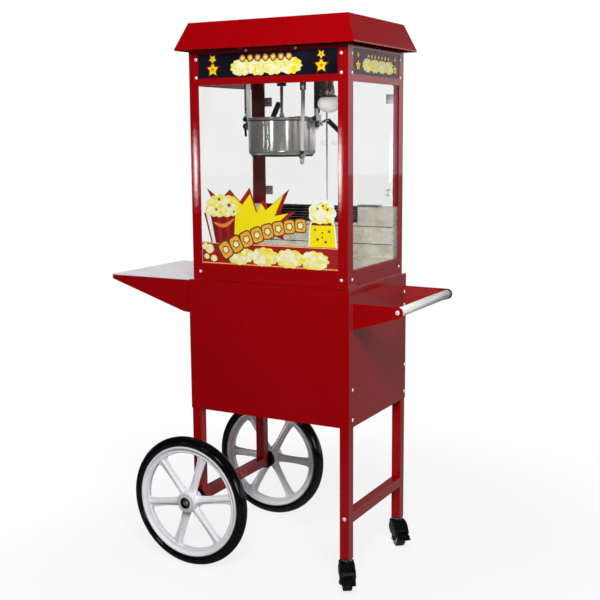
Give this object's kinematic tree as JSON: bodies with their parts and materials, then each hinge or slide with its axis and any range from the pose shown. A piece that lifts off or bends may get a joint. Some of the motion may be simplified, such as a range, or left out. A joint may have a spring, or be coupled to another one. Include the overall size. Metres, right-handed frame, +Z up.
{
  "type": "popcorn cart",
  "caption": "Glazed popcorn machine with tilting kettle on a red two-wheel serving cart with side tray, push handle and swivel casters.",
  "frame": {"origin": "on the floor under the middle of the overall length and depth", "axes": "+Z up, customer side faces -Y, push handle and casters on +X, side tray and large wheels on -X"},
  "size_m": [0.939, 0.53, 1.548],
  "materials": {
    "red_paint": "glossy red powder coat",
    "zinc_steel": "zinc plated",
    "silver_wheel": "silver painted casting",
    "tyre_rubber": "smooth black rubber",
    "black_plastic": "moulded black plastic",
    "caster_tread": "black tread",
    "satin_steel": "satin stainless steel",
    "polished_steel": "polished stainless steel",
    "handle_metal": "satin grey tube",
    "sign_black": "glossy black plate",
    "clear_pane": "clear",
    "lamp_white": "white lamp glass"
  },
  "bodies": {
    "cart_frame": {"leg_front_left": "red_paint", "leg_front_right": "red_paint", "leg_rear_left": "red_paint", "leg_rear_right": "red_paint", "brace_left": "red_paint", "brace_right": "red_paint", "axle": "zinc_steel", "panel_front": "red_paint", "panel_left": "red_paint", "panel_right": "red_paint", "cabinet_floor": "red_paint", "cabinet_top": "red_paint", "side_tray": "satin_steel", "tray_bracket_front": "red_paint", "tray_bracket_rear": "red_paint", "handle_arm_front": "red_paint", "handle_arm_rear": "red_paint", "handle_tube": "handle_metal", "machine_base": "red_paint", "post_front_left": "red_paint", "post_front_right": "red_paint", "post_rear_left": "red_paint", "post_rear_right": "red_paint", "top_frame": "red_paint", "roof": "red_paint", "sign_front": "sign_black", "sign_left": "sign_black", "sign_right": "sign_black", "glass_front": "clear_pane", "glass_left": "clear_pane", "glass_right": "clear_pane", "deck": "satin_steel", "control_panel": "satin_steel", "hanger_left": "satin_steel", "hanger_right": "satin_steel", "hose_upper": "polished_steel", "warming_lamp": "lamp_white"},
    "wheel_front_body": {"wheel_front": "silver_wheel", "tyre_front": "tyre_rubber"},
    "wheel_rear_body": {"wheel_rear": "silver_wheel", "tyre_rear": "tyre_rubber"},
    "caster_front_body": {"caster_front": "black_plastic"},
    "caster_rear_body": {"caster_rear": "black_plastic"},
    "caster_wheel_front_body": {"caster_wheel_front": "caster_tread"},
    "caster_wheel_rear_body": {"caster_wheel_rear": "caster_tread"},
    "brake_front_body": {"brake_pedal_front": "black_plastic"},
    "brake_rear_body": {"brake_pedal_rear": "black_plastic"},
    "kettle_body": {"kettle": "polished_steel", "hose_lower": "polished_steel"},
    "lid_front_body": {"lid_front": "polished_steel"},
    "lid_rear_body": {"lid_rear": "polished_steel"},
    "agitator_body": {"agitator": "polished_steel"},
    "drive_body": {"drive_coupling": "black_plastic"},
    "case_door_left_body": {"case_door_left": "clear_pane"},
    "case_door_right_body": {"case_door_right": "clear_pane"},
    "cabinet_door_body": {"cabinet_door": "red_paint"},
    "drawer_body": {"kernel_drawer": "satin_steel"},
    "switch_power_body": {"switch_power": "black_plastic"},
    "switch_heat_body": {"switch_heat": "black_plastic"},
    "switch_light_body": {"switch_light": "black_plastic"}
  },
  "joints": [
    {"name": "wheel_front_spin", "type": "hinge", "parent": "cart_frame", "child": "wheel_front_body", "pos_m": [-0.1709, -0.237, 0.192], "axis": [0, 1, 0], "continuous": true},
    {"name": "wheel_rear_spin", "type": "hinge", "parent": "cart_frame", "child": "wheel_rear_body", "pos_m": [-0.1709, 0.237, 0.192], "axis": [0, 1, 0], "continuous": true},
    {"name": "caster_front_swivel", "type": "hinge", "parent": "cart_frame", "child": "caster_front_body", "pos_m": [0.3059, -0.1784, 0.088], "axis": [0, 0, 1], "continuous": true},
    {"name": "caster_wheel_front_roll", "type": "hinge", "parent": "caster_front_body", "child": "caster_wheel_front_body", "pos_m": [0.31438, -0.19197, 0.025], "axis": [0.848, 0.5299, 0], "continuous": true},
    {"name": "brake_pedal_front_press", "type": "hinge", "parent": "caster_front_body", "child": "brake_front_body", "pos_m": [0.33081, -0.21826, 0.042], "axis": [0.848, 0.5299, 0], "range_deg": [0, 15]},
    {"name": "caster_rear_swivel", "type": "hinge", "parent": "cart_frame", "child": "caster_rear_body", "pos_m": [0.3059, 0.1784, 0.088], "axis": [0, 0, 1], "continuous": true},
    {"name": "caster_wheel_rear_roll", "type": "hinge", "parent": "caster_rear_body", "child": "caster_wheel_rear_body", "pos_m": [0.31681, 0.1667, 0.025], "axis": [0.7314, 0.682, 0], "continuous": true},
    {"name": "brake_pedal_rear_press", "type": "hinge", "parent": "caster_rear_body", "child": "brake_rear_body", "pos_m": [0.33795, 0.14403, 0.042], "axis": [0.7314, 0.682, 0], "range_deg": [0, 15]},
    {"name": "kettle_tilt", "type": "hinge", "parent": "cart_frame", "child": "kettle_body", "pos_m": [0.0145, 0, 1.272], "axis": [1, 0, 0], "range_deg": [0, 100]},
    {"name": "lid_front_lift", "type": "hinge", "parent": "kettle_body", "child": "lid_front_body", "pos_m": [0.0145, -0.009, 1.29], "axis": [-1, 0, 0], "range_deg": [0, 50]},
    {"name": "lid_rear_lift", "type": "hinge", "parent": "kettle_body", "child": "lid_rear_body", "pos_m": [0.0145, 0.009, 1.29], "axis": [1, 0, 0], "range_deg": [0, 70]},
    {"name": "drive_spin", "type": "hinge", "parent": "cart_frame", "child": "drive_body", "pos_m": [0.0145, 0, 1.4], "axis": [0, 0, 1], "continuous": true},
    {"name": "agitator_spin", "type": "hinge", "parent": "kettle_body", "child": "agitator_body", "pos_m": [0.0145, 0, 1.3], "axis": [0, 0, 1], "continuous": true},
    {"name": "case_door_left_swing", "type": "hinge", "parent": "cart_frame", "child": "case_door_left_body", "pos_m": [-0.1476, 0.1856, 1.217], "axis": [0, 0, 1], "range_deg": [0, 110]},
    {"name": "case_door_right_swing", "type": "hinge", "parent": "cart_frame", "child": "case_door_right_body", "pos_m": [0.2826, 0.1856, 1.217], "axis": [0, 0, -1], "range_deg": [0, 110]},
    {"name": "cabinet_door_swing", "type": "hinge", "parent": "cart_frame", "child": "cabinet_door_body", "pos_m": [-0.1575, 0.1961, 0.649], "axis": [0, 0, 1], "range_deg": [0, 110]},
    {"name": "kernel_drawer_slide", "type": "slide", "parent": "cart_frame", "child": "drawer_body", "axis": [0, 1, 0], "range_m": [0, 0.24]},
    {"name": "switch_power_rock", "type": "hinge", "parent": "cart_frame", "child": "switch_power_body", "pos_m": [0.0075, 0.182, 0.975], "axis": [1, 0, 0], "range_deg": [0, 14]},
    {"name": "switch_heat_rock", "type": "hinge", "parent": "cart_frame", "child": "switch_heat_body", "pos_m": [0.0675, 0.182, 0.975], "axis": [1, 0, 0], "range_deg": [0, 14]},
    {"name": "switch_light_rock", "type": "hinge", "parent": "cart_frame", "child": "switch_light_body", "pos_m": [0.1275, 0.182, 0.975], "axis": [1, 0, 0], "range_deg": [0, 14]}
  ],
  "couplings": [
    {"joint": "agitator_spin", "follows": "drive_spin", "ratio": 1}
  ]
}
